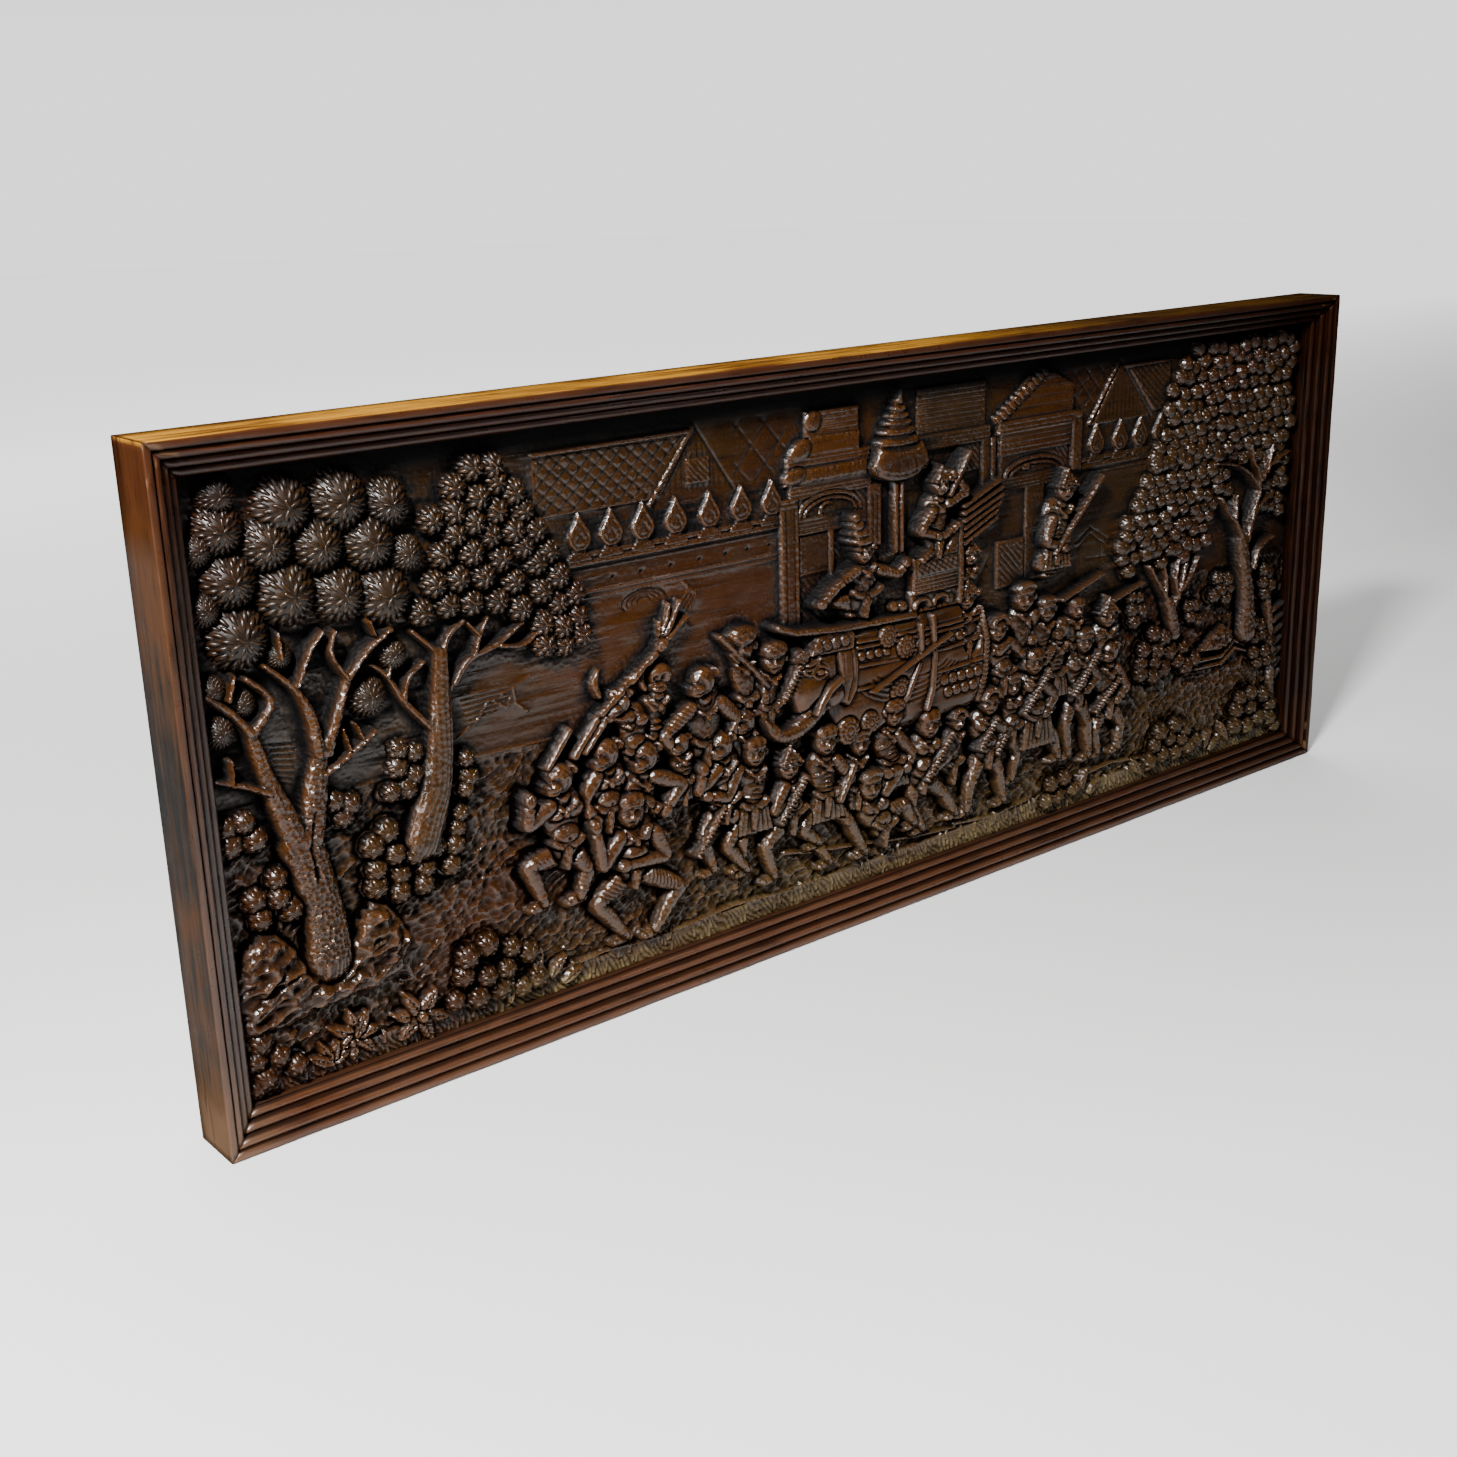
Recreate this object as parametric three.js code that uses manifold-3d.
// Carved hardwood wall panel: a procession with an elephant, palace roofs behind and trees at both
// ends, in a mitred reeded frame. Millimetres, X right, Y into the wall, Z up. The origin is the
// middle of the flat back, so the face looks along -Y and every height is counted from the wall.
import * as THREE from 'three';
import { mergeVertices } from 'three/addons/utils/BufferGeometryUtils.js';
import Module from 'manifold-3d';

const wasm = await Module();
wasm.setup();

// Driving dimensions
const PANEL_WIDTH = 1520;
const PANEL_HEIGHT = 590;
const PANEL_DEPTH = 58;
const RAIL_WIDTH = 32;
const REBATE_DEPTH = 10;
const JOINT_GAP = 0.3;

// Heights above the wall
const BOARD = 20;
const SEAT = 12;
const LIP = 37;
const GROUND_TOP = 22;
const GROUND_FOOT = 28;

const HORIZON = -18;
const SIGHT_X = PANEL_WIDTH / 2 - RAIL_WIDTH;
const SIGHT_Z = PANEL_HEIGHT / 2 - RAIL_WIDTH;
const CARVING_X = SIGHT_X - JOINT_GAP;
const CARVING_Z = SIGHT_Z - JOINT_GAP;
const BOARD_X = SIGHT_X + REBATE_DEPTH - JOINT_GAP;
const BOARD_Z = SIGHT_Z + REBATE_DEPTH - JOINT_GAP;

const MERGE_TOLERANCE = 1e-4;
const SMALLEST_DETAIL = 0.4;

// Solids

function toSolid(geometry) {
  geometry.deleteAttribute('normal');
  geometry.deleteAttribute('uv');
  const merged = mergeVertices(geometry, MERGE_TOLERANCE);
  const vertProperties = new Float32Array(merged.getAttribute('position').array);
  const faces = [];
  let volume = 0;
  const corner = (i) => new THREE.Vector3().fromArray(vertProperties, 3 * i);
  for (let i = 0; i < merged.index.count; i += 3) {
    const [a, b, c] = [0, 1, 2].map((k) => merged.index.getX(i + k));
    if (a !== b && b !== c && c !== a) {
      faces.push([a, b, c]);
      volume += corner(a).dot(corner(b).cross(corner(c)));
    }
  }
  const ordered = faces.map(([a, b, c]) => (volume < 0 ? [a, c, b] : [a, b, c]));
  return new wasm.Manifold(new wasm.Mesh({
    numProp: 3,
    vertProperties,
    triVerts: new Uint32Array(ordered.flat()),
  }));
}

function fromSolid(solid) {
  const mesh = solid.getMesh();
  const geometry = new THREE.BufferGeometry();
  geometry.setAttribute('position', new THREE.BufferAttribute(new Float32Array(mesh.vertProperties), 3));
  geometry.setIndex(new THREE.BufferAttribute(new Uint32Array(mesh.triVerts), 1));
  geometry.computeVertexNormals();
  return geometry;
}

function join(solids) {
  let layer = solids;
  while (layer.length > 1) {
    const next = [];
    for (let i = 0; i < layer.length; i += 2) {
      next.push(i + 1 < layer.length ? layer[i].add(layer[i + 1]) : layer[i]);
    }
    layer = next;
  }
  return layer[0];
}

// Carved forms. Each grows out of the board from SEAT, below its face, up to its own height.

function block(x0, x1, z0, z1, top) {
  const geometry = new THREE.BoxGeometry(x1 - x0, top - SEAT, z1 - z0);
  geometry.translate((x0 + x1) / 2, -(top + SEAT) / 2, (z0 + z1) / 2);
  return toSolid(geometry);
}

function bar(x0, z0, x1, z1, width, top) {
  const length = Math.hypot(x1 - x0, z1 - z0);
  const geometry = new THREE.BoxGeometry(length, top - SEAT, width);
  geometry.rotateY(-Math.atan2(z1 - z0, x1 - x0));
  geometry.translate((x0 + x1) / 2, -(top + SEAT) / 2, (z0 + z1) / 2);
  return toSolid(geometry);
}

function plate(outline, top) {
  const shape = outline instanceof THREE.Shape
    ? outline
    : new THREE.Shape(outline.map(([x, z]) => new THREE.Vector2(x, z)));
  const geometry = new THREE.ExtrudeGeometry(shape, {
    depth: top - SEAT,
    bevelEnabled: false,
    curveSegments: 5,
  });
  geometry.rotateX(Math.PI / 2);
  geometry.translate(0, -SEAT, 0);
  return toSolid(geometry);
}

// Dome outlines, as shares of the radius and of the height, from a bud to a rounder one.
const BUD = [[0, 0], [1, 0], [0, 1]];
const PLAIN_DOME = [[0, 0], [1, 0], [0.8, 0.72], [0, 1]];
const ROUND_DOME = [[0, 0], [1, 0], [0.94, 0.55], [0.58, 0.9], [0, 1]];

function dome(x, z, halfWidth, halfHeight, top, sides = 5, outline = PLAIN_DOME) {
  const profile = outline.map(([radius, height]) => new THREE.Vector2(radius, -height));
  const geometry = new THREE.LatheGeometry(profile, sides, x);
  geometry.scale(halfWidth, top - SEAT, halfHeight);
  geometry.translate(x, -SEAT, z);
  return toSolid(geometry);
}

// A closed solid lofted through sections of equal length, each a list of points.
function loft(sections) {
  const count = sections[0].length;
  const corners = [];
  const at = (section, k) => sections[section][k % count];
  for (let i = 0; i + 1 < sections.length; i += 1) {
    for (let k = 0; k < count; k += 1) {
      corners.push(at(i, k), at(i, k + 1), at(i + 1, k + 1), at(i, k), at(i + 1, k + 1), at(i + 1, k));
    }
  }
  for (let k = 1; k + 1 < count; k += 1) {
    corners.push(at(0, 0), at(0, k + 1), at(0, k));
    corners.push(at(sections.length - 1, 0), at(sections.length - 1, k), at(sections.length - 1, k + 1));
  }
  return toSolid(new THREE.BufferGeometry().setFromPoints(corners));
}

// Ridge sections: share of the half width, share of the height.
const ROOF_RIDGE = [[-1.25, 0], [0, 1], [1.25, 0]];
const FLAT_RIDGE = [[-1.1, 0], [-0.5, 1], [0.5, 1], [1.1, 0]];
const ROUND_RIDGE = [[-1.05, 0], [-0.85, 0.7], [0, 1], [0.85, 0.7], [1.05, 0]];
const SHARP_TURN = 2.3;
const WIDEST_MITRE = 1.4;

// Ridges through places [x, z, half width], as branches, arms and legs. A sharp turn starts a new one.
function ridges(places, top0, top1 = top0, outline = ROOF_RIDGE) {
  const last = places.length - 1;
  const heading = (i) => Math.atan2(places[i + 1][1] - places[i][1], places[i + 1][0] - places[i][0]);
  const turn = (a, b) => Math.atan2(Math.sin(b - a), Math.cos(b - a));
  const section = (i, angle, slip, bend = 0) => {
    const [x, z, half] = places[i];
    const top = THREE.MathUtils.lerp(top0, top1, i / last);
    const spread = half * Math.min(1 / Math.cos(bend / 2), WIDEST_MITRE);
    return outline.map(([across, height]) => new THREE.Vector3(
      x + slip * half * Math.cos(angle) - across * spread * Math.sin(angle),
      -SEAT - height * (top - SEAT),
      z + slip * half * Math.sin(angle) + across * spread * Math.cos(angle),
    ));
  };
  const solids = [];
  let run = [section(0, heading(0), -0.5)];
  for (let i = 1; i <= last; i += 1) {
    const before = heading(i - 1);
    const bend = i < last ? turn(before, heading(i)) : 0;
    if (i === last || Math.abs(bend) > SHARP_TURN) {
      solids.push(loft([...run, section(i, before, 0.5)]));
      if (i < last) run = [section(i, heading(i), -0.5)];
    } else {
      run.push(section(i, before + bend / 2, 0, bend));
    }
  }
  return solids;
}

// A patch of leaf knobs: six-sided cells with raised middles, kept where the test says so.
function knobs(keep, [x0, x1, z0, z1], radius, low, high) {
  const corners = [];
  const edges = new Map();
  const across = radius * Math.sqrt(3);
  const key = (p) => `${p.x.toFixed(2)},${p.z.toFixed(2)}`;
  const foot = (p) => new THREE.Vector3(p.x, -SEAT, p.z);
  let row = 0;
  for (let z = z0; z <= z1; z += radius * 1.5) {
    for (let x = x0 + (row % 2 ? across / 2 : 0); x <= x1; x += across) {
      if (keep(x, z)) {
        const lift = 1.5 * Math.sin(x + 2 * z);
        const middle = new THREE.Vector3(x + Math.sin(z), -high - lift, z + Math.cos(x));
        const rim = [0, 1, 2, 3, 4, 5].map((k) => {
          const angle = (k + 0.5) * (Math.PI / 3);
          return new THREE.Vector3(x + radius * Math.cos(angle), -low, z + radius * Math.sin(angle));
        });
        rim.forEach((a, k) => {
          const b = rim[(k + 1) % 6];
          corners.push(middle, b, a, foot(middle), foot(a), foot(b));
          const back = `${key(b)} ${key(a)}`;
          if (edges.has(back)) edges.delete(back);
          else edges.set(`${key(a)} ${key(b)}`, [a, b]);
        });
      }
    }
    row += 1;
  }
  edges.forEach(([a, b]) => corners.push(a, b, foot(b), a, foot(b), foot(a)));
  return toSolid(new THREE.BufferGeometry().setFromPoints(corners));
}

// Frame mouldings

const REED_COUNT = 3;
const REED_PITCH = 8;
const REED_STEP = 7;
const FIRST_REED = PANEL_DEPTH - 4;
const FILLET_WIDTH = RAIL_WIDTH - REED_COUNT * REED_PITCH;

// The moulding's section: distance in from the outer edge, height above the wall.
function railSection() {
  const points = [[0, 0], [0, PANEL_DEPTH - 1], [1, PANEL_DEPTH], [FILLET_WIDTH - 1, PANEL_DEPTH]];
  for (let reed = 0; reed < REED_COUNT; reed += 1) {
    const start = FILLET_WIDTH + reed * REED_PITCH;
    const height = FIRST_REED - reed * REED_STEP;
    points.push([start, height - 0.5], [start + 2, height + 1.6], [start + 5, height + 0.4]);
    points.push([start + 7, height - 3]);
  }
  points.push([RAIL_WIDTH, LIP - 2.5], [RAIL_WIDTH, BOARD + JOINT_GAP]);
  points.push([RAIL_WIDTH - REBATE_DEPTH, BOARD + JOINT_GAP], [RAIL_WIDTH - REBATE_DEPTH, 0]);
  return points;
}

function moulding(name, length, turn, offset, material) {
  const section = railSection().map(([inward, height]) => new THREE.Vector2(inward, height));
  const geometry = new THREE.ExtrudeGeometry(new THREE.Shape(section), { depth: 1, bevelEnabled: false });
  const position = geometry.getAttribute('position');
  for (let i = 0; i < position.count; i += 1) {
    const inward = position.getX(i);
    const height = position.getY(i);
    const end = length / 2 - inward - JOINT_GAP / Math.SQRT2;
    const side = position.getZ(i) > 0.5 ? 1 : -1;
    position.setXYZ(i, side * end, -height, offset - inward);
  }
  geometry.rotateY(turn);
  const mesh = new THREE.Mesh(fromSolid(toSolid(geometry)), material);
  mesh.name = name;
  return mesh;
}

// Trees

// Fluted leaf balls: x, z, radius, and the height of the nearest ones.
const LARGE_BALLS = [
  [-697, 217, 20], [-642, 228, 24], [-592, 226, 24], [-550, 218, 19], [-720, 204, 12], [-658, 200, 21],
  [-614, 193, 21], [-569, 188, 22], [-692, 176, 22], [-720, 157, 12], [-646, 158, 25], [-600, 150, 22],
  [-560, 142, 24], [-690, 130, 25], [-536, 174, 14], [-695, 244, 15],
  [-583, 60, 16], [-557, 92, 12], [-719, 58, 13], [-693, 77, 10], [-658, 110, 10], [-720, 93, 10],
];
const SMALL_BALLS = [
  [-487, 222], [-466, 211], [-446, 222], [-430, 211], [-511, 198], [-489, 202], [-471, 191], [-448, 197],
  [-421, 194], [-489, 183], [-455, 177], [-432, 178], [-409, 175], [-503, 167], [-475, 165], [-446, 155],
  [-423, 163], [-397, 154], [-513, 144], [-490, 145], [-465, 143], [-410, 146], [-527, 122], [-501, 124],
  [-478, 122], [-452, 119], [-434, 133], [-389, 131], [-430, 109], [-406, 120], [-390, 106], [-372, 112],
  [-408, 91], [-388, 85], [-370, 91], [-407, 72], [-386, 68], [-367, 74], [-449, 236], [-470, 237],
];
const SMALL_BALL = 11;

const BIG_TRUNK = [
  [[-642, -158, 21], [-642, -120, 18], [-650, -75, 18], [-656, -50, 20]],
  [[-660, -45, 15], [-672, -15, 13], [-682, 15, 11], [-689, 45, 10], [-692, 58, 9]],
  [[-692, 55, 8], [-706, 74, 7], [-724, 90, 6]],
  [[-689, 55, 8], [-672, 77, 7], [-690, 98, 5]],
  [[-648, -45, 15], [-640, -10, 14], [-633, 20, 12]],
  [[-635, 25, 10], [-640, 60, 9], [-652, 84, 6], [-674, 106, 4]],
  [[-628, 25, 10], [-612, 60, 8], [-603, 82, 8]],
  [[-603, 82, 6], [-560, 115, 4]],
  [[-605, 84, 5], [-611, 122, 4]],
];
const SECOND_TRUNK = [
  [[-545, -78, 17], [-530, -40, 16], [-521, 0, 13], [-517, 40, 10], [-514, 84, 7]],
  [[-515, 84, 5], [-538, 108, 4]],
  [[-512, 84, 5], [-488, 108, 4]],
  [[-521, 14, 6], [-550, 48, 6], [-566, 76, 5], [-580, 88, 4]],
  [[-503, 56, 5], [-486, 74, 6], [-455, 82, 5], [-428, 97, 3]],
];
const RIGHT_TRUNK = [
  [[646, -112, 20], [640, -70, 16], [626, -20, 15], [624, 8, 14]],
  [[616, 12, 9], [600, 34, 8], [580, 54, 5]],
  [[628, 10, 9], [640, 40, 9], [648, 76, 10], [632, 98, 8], [596, 107, 6], [552, 113, 5]],
  [[652, 76, 5], [668, 92, 5], [710, 106, 4]],
];
const MIDDLE_TRUNK = [
  [[494, -80, 9], [482, -50, 8], [462, -25, 7], [450, -10, 6]],
  [[500, -82, 7], [506, -62, 6], [518, -45, 5], [519, -24, 4]],
];

// Leaf masses of the right-hand trees, as outlines filled with rows of lumps.
const HIGH_CROWN = [
  [466, 134], [466, 186], [484, 222], [480, 238], [510, 245], [540, 251], [600, 244], [660, 253],
  [700, 249], [716, 236], [716, 140], [690, 122], [640, 136], [560, 126],
];
const LOW_CROWN = [
  [382, 22], [382, 58], [412, 88], [446, 120], [480, 132], [548, 130], [612, 98], [616, 74], [572, 58],
  [560, 14], [520, -6], [450, -6], [404, -8],
];

function inside(outline, x, z) {
  let within = false;
  outline.forEach(([x1, z1], i) => {
    const [x0, z0] = outline[(i + outline.length - 1) % outline.length];
    if ((z0 > z) !== (z1 > z) && x < x0 + ((z - z0) / (z1 - z0)) * (x1 - x0)) within = !within;
  });
  return within;
}

// A crown is its outline as a low plate, studded with knobs of leaves.
function crown(outline, radius, base, top) {
  const xs = outline.map(([x]) => x);
  const zs = outline.map(([, z]) => z);
  const box = [Math.min(...xs), Math.max(...xs), Math.min(...zs) + radius / 2, Math.max(...zs)];
  return [plate(outline, base), knobs((x, z) => inside(outline, x, z), box, radius, base, top)];
}

// The first run of places is the trunk, and the others are its branches.
function tree([trunk, ...branches], trunkTop, branchTop) {
  const limbs = branches.flatMap((places) => ridges(places, branchTop, branchTop - 3));
  return [...ridges(trunk, trunkTop, branchTop, ROUND_RIDGE), ...limbs];
}

const BALL_SIDES = 6;

function treeSolids() {
  const large = LARGE_BALLS.map(([x, z, r]) => (
    dome(x, z, r, r, 30 + r * 0.55, BALL_SIDES)
  ));
  const small = SMALL_BALLS.map(([x, z]) => dome(x, z, SMALL_BALL, SMALL_BALL, 38, 5, BUD));
  const trunks = [
    ...tree(BIG_TRUNK, 41, 37), ...tree(SECOND_TRUNK, 40, 33), ...tree(RIGHT_TRUNK, 38, 34),
    ...tree(MIDDLE_TRUNK, 35, 35),
  ];
  return [...large, ...small, ...trunks,
    ...crown(HIGH_CROWN, 18, 28, 34), ...crown(LOW_CROWN, 17, 28, 35)];
}

// Ground, rocks and bushes

// Each bush is a patch of leaf balls: x, z of the middle, half width, half height, top, ball radius.
const BUSHES = [
  [-688, -88, 20, 26, 33, 17], [-556, -10, 16, 24, 33, 15], [-548, -92, 50, 28, 35, 18],
  [-704, -230, 24, 26, 38, 18], [-622, -236, 30, 18, 38, 18], [-562, -238, 26, 20, 37, 18],
  [-478, -220, 48, 30, 38, 18], [293, -238, 28, 18, 37, 17], [502, -228, 48, 30, 37, 19],
  [672, -224, 50, 32, 38, 19], [492, -112, 62, 30, 33, 20], [680, -132, 24, 32, 32, 18],
];
const LEFT_ROCK = [
  [-727, -186], [-727, -150], [-712, -128], [-690, -116], [-668, -118], [-655, -148], [-625, -154],
  [-616, -124], [-598, -119], [-580, -140], [-572, -162], [-584, -180], [-640, -178], [-690, -192],
];
const RIGHT_ROCK = [[552, -122], [574, -106], [598, -95], [614, -106], [618, -120], [590, -127]];
const RIGHT_BANK = [[690, -80, 4], [701, -120, 5], [712, -160, 5], [710, -196, 5], [722, -240, 5]];

function bush([x, z, halfWidth, halfHeight, top, radius]) {
  const keep = (px, pz) => ((px - x) / halfWidth) ** 2 + ((pz - z) / halfHeight) ** 2 < 1;
  const pitch = radius * Math.sqrt(3);
  const box = [x - pitch * Math.floor(halfWidth / pitch), x + halfWidth, z - halfHeight * 0.75, z + halfHeight];
  return knobs(keep, box, radius, top - 6, top);
}

// The ground swells towards the foot of the panel: a wedge from the horizon down.
function groundSolid() {
  const section = new THREE.Shape([
    new THREE.Vector2(SEAT, HORIZON), new THREE.Vector2(GROUND_TOP, HORIZON),
    new THREE.Vector2(GROUND_TOP + 1, -120), new THREE.Vector2(GROUND_FOOT - 2, -205),
    new THREE.Vector2(GROUND_FOOT, -CARVING_Z), new THREE.Vector2(SEAT, -CARVING_Z),
  ]);
  const geometry = new THREE.ExtrudeGeometry(section, { depth: 2 * CARVING_X, bevelEnabled: false });
  const position = geometry.getAttribute('position');
  for (let i = 0; i < position.count; i += 1) {
    position.setXYZ(i, position.getZ(i) - CARVING_X, -position.getX(i), position.getY(i));
  }
  return toSolid(geometry);
}

function groundSolids() {
  return [
    groundSolid(),
    plate(LEFT_ROCK, 33),
    dome(-700, -150, 24, 26, 37), dome(-600, -145, 20, 22, 37), dome(-640, -172, 36, 12, 37),
    plate(RIGHT_ROCK, 30),
    ...ridges(RIGHT_BANK, 30),
    ...BUSHES.map(bush),
  ];
}

// Palace

const WALL_TOP = 137;
const FINIAL_X = [-360, -325, -289, -251, -211, -172, -134, 348, 390, 426, 463];
const FINIAL_HEIGHT = 34;
const FINIAL_WIDTH = 25;
const FINIAL_FOOT = 147;

// A leaf-shaped wall finial with a pointed tip.
function finial(x) {
  const half = FINIAL_WIDTH / 2;
  const at = (share, rise) => [x + share * half, FINIAL_FOOT + rise * FINIAL_HEIGHT];
  const leaf = [at(-0.6, 0), at(-1, 0.42), at(0, 1), at(1, 0.42), at(0.6, 0)];
  return plate(leaf, 27);
}

function archBand(x0, x1, z, rise, width, top) {
  const middle = (x0 + x1) / 2;
  const half = (x1 - x0) / 2;
  const shape = new THREE.Shape();
  shape.absellipse(middle, z, half, rise, 0, Math.PI, false);
  shape.absellipse(middle, z, half - width, rise - width, Math.PI, 0, true);
  return plate(shape, top);
}

// A tiled roof: a raised slab with slanting battens.
function tiledRoof([x0, x1, z0, z1], top, count) {
  const pitch = (x1 - x0) / count;
  const slant = (z1 - z0) * 0.6;
  const battens = Array.from({ length: count }, (_, i) => (
    bar(x0 + 4 + i * pitch, z0 + 4, x0 + 4 + i * pitch + slant, z1 - 4, 3, top + 2)
  ));
  return [block(x0, x1, z0, z1, top), ...battens];
}

function leftPalace() {
  return [
    block(-372, -118, WALL_TOP - 6, FINIAL_FOOT, 25),
    block(-370, -118, 103, 109, 22.5),
    ...tiledRoof([-405, -270, 182, 238], 24, 3),
    bar(-281, 177, -227, 243, 6, 28),
    bar(-225, 243, -180, 180, 5, 25),
    bar(-206, 186, -152, 240, 4, 23), bar(-178, 240, -122, 184, 4, 23),
    block(-90, -20, 216, 240, 29),
    plate([[-112, 198], [-20, 198], [-20, 217], [-86, 217]], 31),
    block(-115, -5, 185, 199, 29),
    plate([[-118, 172], [-10, 172], [-10, 186], [-104, 186]], 32),
    block(-112, -2, 158, 173, 28),
    block(-122, -103, 24, 160, 30),
    archBand(-100, -18, 138, 19, 5, 28),
    block(-104, -30, 121, 139, 26),
    block(-60, -56, 40, 122, 26),
    block(-4, 10, 98, 160, 30),
  ];
}

function rightPalace() {
  return [
    block(64, 166, 184, 247, 26),
    bar(66, 232, 164, 232, 3, 28), bar(66, 218, 164, 218, 3, 28),
    block(64, 174, 184, 199, 29),
    block(160, 180, 138, 186, 29),
    plate([[178, 199], [305, 199], [305, 228], [270, 245], [232, 245], [214, 218]], 29),
    bar(178, 200, 236, 244, 7, 32),
    block(184, 305, 188, 200, 31),
    block(188, 306, 164, 189, 29),
    block(305, 319, 137, 200, 31),
    archBand(198, 292, 139, 17, 5, 28),
    block(186, 306, 126, 140, 26),
    block(232, 262, 40, 127, 25),
    plate([[341, 180], [388, 244], [445, 180]], 24),
    bar(341, 180, 389, 245, 5, 29), bar(389, 245, 446, 179, 5, 27),
    plate([[404, 240], [452, 184], [474, 184], [478, 240]], 24),
    block(320, 478, WALL_TOP - 6, FINIAL_FOOT, 25),
  ];
}

function palaceSolids() {
  return [...leftPalace(), ...rightPalace(), ...FINIAL_X.map(finial)];
}

// Elephant, howdah and its riders

function elephantSolids() {
  const trunk = [[-96, -48, 15], [-112, -66, 12], [-134, -74, 10], [-150, -60, 9], [-156, -18, 6]];
  return [
    dome(50, -36, 118, 62, 38, 9, ROUND_DOME),
    dome(-80, -26, 40, 38, 42, 7, ROUND_DOME),
    dome(-72, 6, 28, 15, 40, 6),
    plate([[-62, 6], [-40, 2], [-34, -30], [-46, -58], [-62, -46], [-66, -20]], 43),
    ...ridges(trunk, 42, 36, ROUND_RIDGE),
    ...ridges([[-72, -38, 4], [-104, -60, 3]], 46, 45),
    dome(-46, -90, 17, 16, 40), dome(-14, -86, 15, 14, 39),
    dome(112, -66, 34, 28, 39, 6),
    ...ridges([[54, 10, 4], [52, -28, 4], [30, -78, 4]], 41),
    ...ridges([[74, 10, 5], [66, -86, 4]], 41),
    ...ridges([[-20, -52, 3], [125, 8, 3]], 43, 41),
    ...ridges([[-140, 36, 4], [-60, 20, 4], [46, 16, 4]], 37),
  ];
}

function howdahSolids() {
  const canopy = (halfWidth, z0, z1, top) => block(32 - halfWidth, 32 + halfWidth, z0, z1, top);
  const bell = new THREE.Shape();
  bell.moveTo(-6, 178);
  bell.quadraticCurveTo(32, 148, 70, 178);
  bell.lineTo(58, 194);
  bell.lineTo(8, 194);
  const roof = [plate(bell, 37), canopy(27, 193, 205, 35), canopy(20, 205, 215, 34)];
  roof.push(canopy(14, 215, 226, 33), canopy(9, 226, 238, 32), canopy(4, 238, 252, 31));
  const fan = [0, 1, 2, 3, 4, 5].flatMap((i) => (
    ridges([[120, 122 - 8 * i, 2.2], [178 + 6 * Math.sin(i), 143 - 8.5 * i, 2]], 35, 33)
  ));
  return [
    ...roof, ...fan,
    block(28, 40, 84, 158, 31), block(46, 116, 36, 74, 37),
    plate([[58, 73], [116, 73], [116, 102], [104, 102]], 37), block(42, 120, 20, 37, 34),
  ];
}

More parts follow.
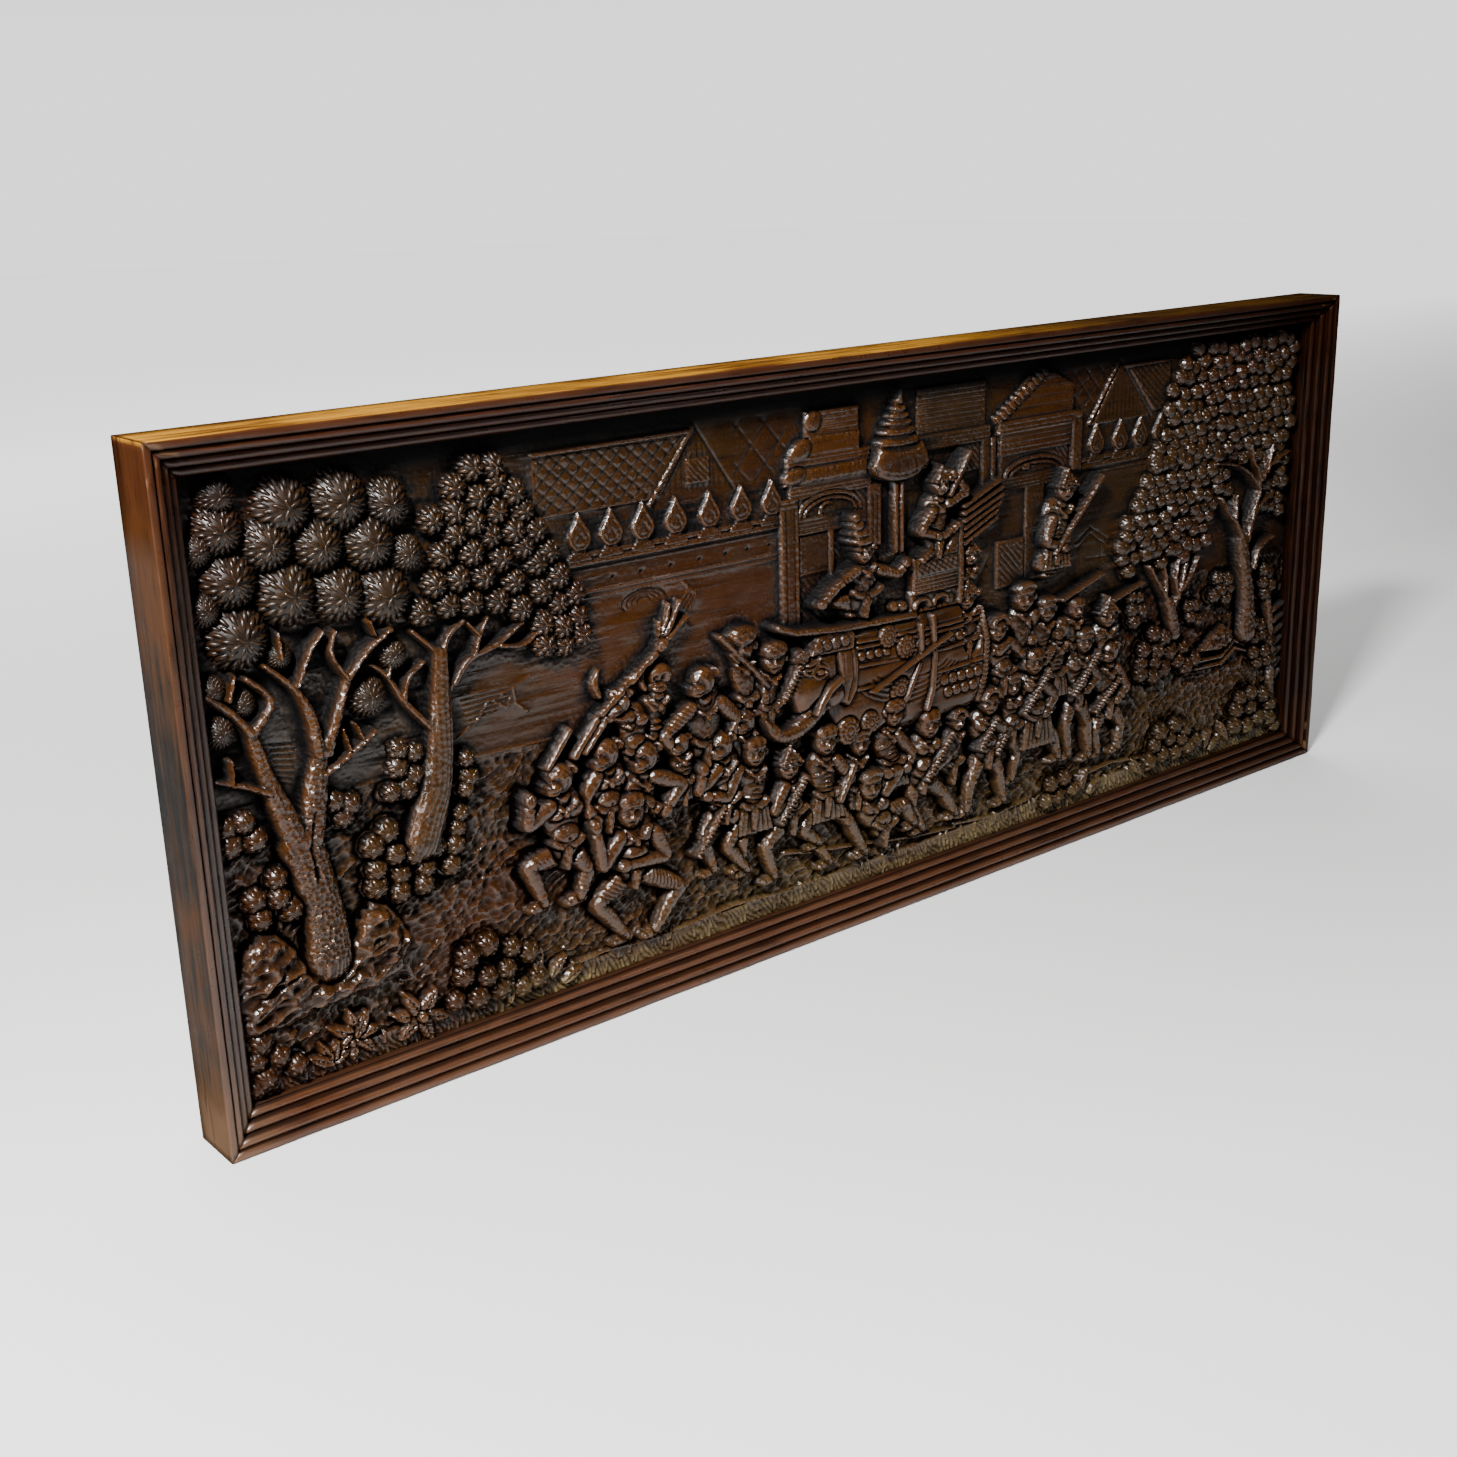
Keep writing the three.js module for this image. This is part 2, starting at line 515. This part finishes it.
// Figures. Joints are [x, z]; a head adds its radius and a chest or hips its half width.
const LIMB = 9;
const LIMB_TAPER = 0.5;
const FOOT = 20;
const HEAD_SIDES = 5;
const FIGURES = [
  { head: [-403, -57, 17], chest: [-400, -90, 22], hips: [-400, -122, 17], lift: 38, hat: [1.2, 0.5],
    arms: [[[-416, -78], [-441, -88], [-439, -66]]],
    legs: [[[-402, -126], [-442, -129], [-424, -166]], [[-394, -124], [-378, -150], [-386, -172]]] },
  { head: [-349, -44, 17], chest: [-347, -74, 20], hips: [-350, -100, 16], lift: 37,
    arms: [[[-364, -64], [-378, -88], [-366, -104]]] },
  { head: [-327, -104, 18], chest: [-322, -134, 25], hips: [-326, -164, 18], lift: 40,
    arms: [[[-342, -126], [-361, -148], [-371, -110]], [[-304, -130], [-290, -158], [-318, -156]]],
    legs: [[[-332, -168], [-368, -187], [-345, -224]], [[-316, -168], [-274, -195], [-300, -232]]] },
  { head: [-304, -59, 17], chest: [-312, -88, 22], lift: 36, hat: [1.15, 0.6],
    arms: [[[-292, -78], [-262, -91], [-287, -112]]] },
  { head: [-231, 1, 18], chest: [-229, -32, 33], hips: [-228, -62, 18], lift: 35, hat: [1.35, 0.55],
    arms: [[[-254, -26], [-284, -46], [-262, -66]]] },
  { head: [-213, -69, 16], chest: [-208, -96, 20], hips: [-211, -128, 17], lift: 37,
    arms: [[[-222, -90], [-242, -104], [-241, -85]]],
    legs: [[[-216, -132], [-236, -158], [-230, -192]], [[-206, -132], [-188, -158], [-194, -196]]] },
  { head: [-172, -83, 15], chest: [-172, -112, 19], hips: [-176, -144, 16], lift: 37 },
  { head: [-181, 26, 19], chest: [-176, -4, 16], lift: 34 },
  { head: [-141, 6, 16], chest: [-148, -20, 15], lift: 34 },
  { head: [-128, -107, 15], chest: [-122, -135, 18], hips: [-124, -164, 16], lift: 37,
    legs: [[[-118, -166], [-98, -188], [-82, -224]], [[-130, -166], [-156, -188], [-150, -222]]] },
  { head: [-78, -90, 16], chest: [-77, -122, 20], hips: [-78, -156, 17], lift: 38,
    arms: [[[-64, -112], [-48, -138], [-62, -150]]],
    legs: [[[-74, -160], [-48, -188], [-42, -226]]] },
  { head: [20, -84, 15], chest: [14, -118, 19], hips: [20, -146, 15], lift: 37 },
  { head: [-17, -155, 17], chest: [-12, -182, 20], hips: [0, -204, 15], lift: 40, hat: [1.35, 0.45],
    legs: [[[4, -184], [30, -186], [48, -206]]] },
  { head: [72, -108, 16], chest: [70, -138, 19], hips: [62, -166, 16], lift: 38,
    legs: [[[56, -168], [48, -196], [52, -222]], [[66, -168], [94, -192], [112, -216]]] },
  { head: [226, 4, 17], chest: [228, -26, 20], lift: 34 },
  { head: [180, -23, 15], chest: [186, -52, 18], lift: 35, arms: [[[190, -44], [200, -34], [216, -57]]] },
  { head: [262, -16, 16], chest: [258, -40, 17], lift: 34, hat: [1.35, 0.45] },
  { head: [285, -42, 14], chest: [279, -70, 19], hips: [276, -98, 15], lift: 36 },
  { head: [325, -64, 15], chest: [319, -95, 20], hips: [318, -128, 18], lift: 37,
    legs: [[[320, -132], [336, -166], [330, -204]]] },
  { head: [239, -72, 15], chest: [242, -104, 20], hips: [246, -146, 22], lift: 38,
    arms: [[[254, -98], [270, -116], [256, -132]]],
    legs: [[[254, -148], [276, -168], [272, -190]]] },
  { head: [166, -103, 15], chest: [162, -132, 19], hips: [166, -162, 16], lift: 38,
    legs: [[[172, -164], [184, -190], [180, -222]], [[160, -164], [140, -192], [122, -222]]] },
  { head: [373, -86, 14], chest: [372, -118, 21], hips: [374, -150, 17], lift: 37,
    arms: [[[386, -108], [402, -132], [386, -144]]],
    legs: [[[380, -152], [400, -180], [392, -208]]] },
  // Riders and the guard that stands behind them
  { head: [-24, 96, 14], chest: [-18, 72, 19], hips: [-22, 46, 24], lift: 40,
    arms: [[[-32, 78], [-60, 66], [-84, 50]], [[-4, 74], [22, 66], [34, 74]]] },
  { head: [86, 150, 14], chest: [84, 118, 18], hips: [84, 90, 18], lift: 38,
    arms: [[[94, 126], [122, 138], [104, 160]]] },
  { head: [285, 118, 15], chest: [276, 84, 21], hips: [272, 50, 16], lift: 37,
    arms: [[[264, 86], [250, 60], [278, 54]]] },
];

// Spears, clubs, torches and the flames of the largest torch: x, z at both ends, half width.
const SPEARS = [
  [-414, -42, -388, -12, 5], [-382, -35, -350, -2, 6], [-349, -2, -277, 47, 5], [-277, 47, -232, 72, 4],
  [-282, 46, -262, 84, 4], [-143, -159, -113, -127, 4], [65, -163, 98, -126, 4], [220, -122, 258, -87, 4],
  [304, -118, 342, -84, 4], [148, -150, 171, -124, 4], [288, -10, 358, 9, 2.5], [378, -26, 432, -14, 2.5],
  [266, 48, 346, 124, 3], [96, 138, 126, 178, 3],
];

// A body from the neck over the shoulders and the waist to the hips.
function torso([headX, headZ], chest, hips, lift) {
  const [x, z, half] = chest;
  const between = (share, width) => [
    THREE.MathUtils.lerp(x, hips[0], share), THREE.MathUtils.lerp(z, hips[1], share), width,
  ];
  const neck = [(headX + x) / 2, (headZ + z) / 2 + 2, half * 0.42];
  const shoulders = [x, z + half * 0.35, half * 1.02];
  return ridges([neck, shoulders, between(0.62, half * 0.68), hips], lift, lift - 2, FLAT_RIDGE);
}

function figureSolids() {
  const limb = (joints, lift) => (
    ridges(joints.map(([x, z], i) => [x, z, LIMB - LIMB_TAPER * i]), lift - 1, lift - 3)
  );
  const people = FIGURES.flatMap(({ head, chest, hips, arms = [], legs = [], hat, lift }) => {
    const [x, z, radius] = head;
    const lower = hips ?? [chest[0], chest[1] - 1.4 * chest[2], chest[2] * 0.8];
    const solids = [
      dome(x, z, radius, radius, lift + 3, HEAD_SIDES),
      ...torso(head, chest, lower, lift),
      ...arms.flatMap((joints) => limb(joints, lift)),
      ...legs.flatMap((joints) => {
        const [ankleX, ankleZ] = joints.at(-1);
        return limb([...joints, [ankleX - FOOT, ankleZ - 2]], lift);
      }),
    ];
    if (hat) {
      const [wide, high] = hat;
      solids.push(dome(x, z + radius * 0.6, radius * wide, radius * high, lift + 4, HEAD_SIDES));
    }
    return solids;
  });
  const spears = SPEARS.flatMap(([x0, z0, x1, z1, r]) => ridges([[x0, z0, r], [x1, z1, r]], 38, 36));
  return [...people, ...spears, ...ridges([[-26, 108, 11], [-38, 140, 4]], 41, 37)];
}

// Board with all its carving

function carvedBoard() {
  const board = new THREE.BoxGeometry(2 * BOARD_X, BOARD, 2 * BOARD_Z);
  board.translate(0, -BOARD / 2, 0);
  const carving = join([
    ...groundSolids(), ...treeSolids(), ...palaceSolids(), ...elephantSolids(), ...howdahSolids(),
    ...figureSolids(),
  ]);
  const opening = new THREE.BoxGeometry(2 * CARVING_X, PANEL_DEPTH, 2 * CARVING_Z);
  opening.translate(0, -PANEL_DEPTH / 2, 0);
  const solid = toSolid(board).add(carving.intersect(toSolid(opening)));
  return fromSolid(solid.simplify(SMALLEST_DETAIL));
}

const carvedWood = new THREE.MeshStandardMaterial({ color: 0x4a2a18, roughness: 0.42, metalness: 0 });
const frameWood = new THREE.MeshStandardMaterial({ color: 0x5c3019, roughness: 0.38, metalness: 0 });

const board = new THREE.Mesh(carvedBoard(), carvedWood);
board.name = 'carved_board';

const panel = new THREE.Group();
panel.add(
  board,
  moulding('frame_top_rail', PANEL_WIDTH, 0, PANEL_HEIGHT / 2, frameWood),
  moulding('frame_bottom_rail', PANEL_WIDTH, Math.PI, PANEL_HEIGHT / 2, frameWood),
  moulding('frame_right_stile', PANEL_HEIGHT, Math.PI / 2, PANEL_WIDTH / 2, frameWood),
  moulding('frame_left_stile', PANEL_HEIGHT, -Math.PI / 2, PANEL_WIDTH / 2, frameWood),
);

export default panel;
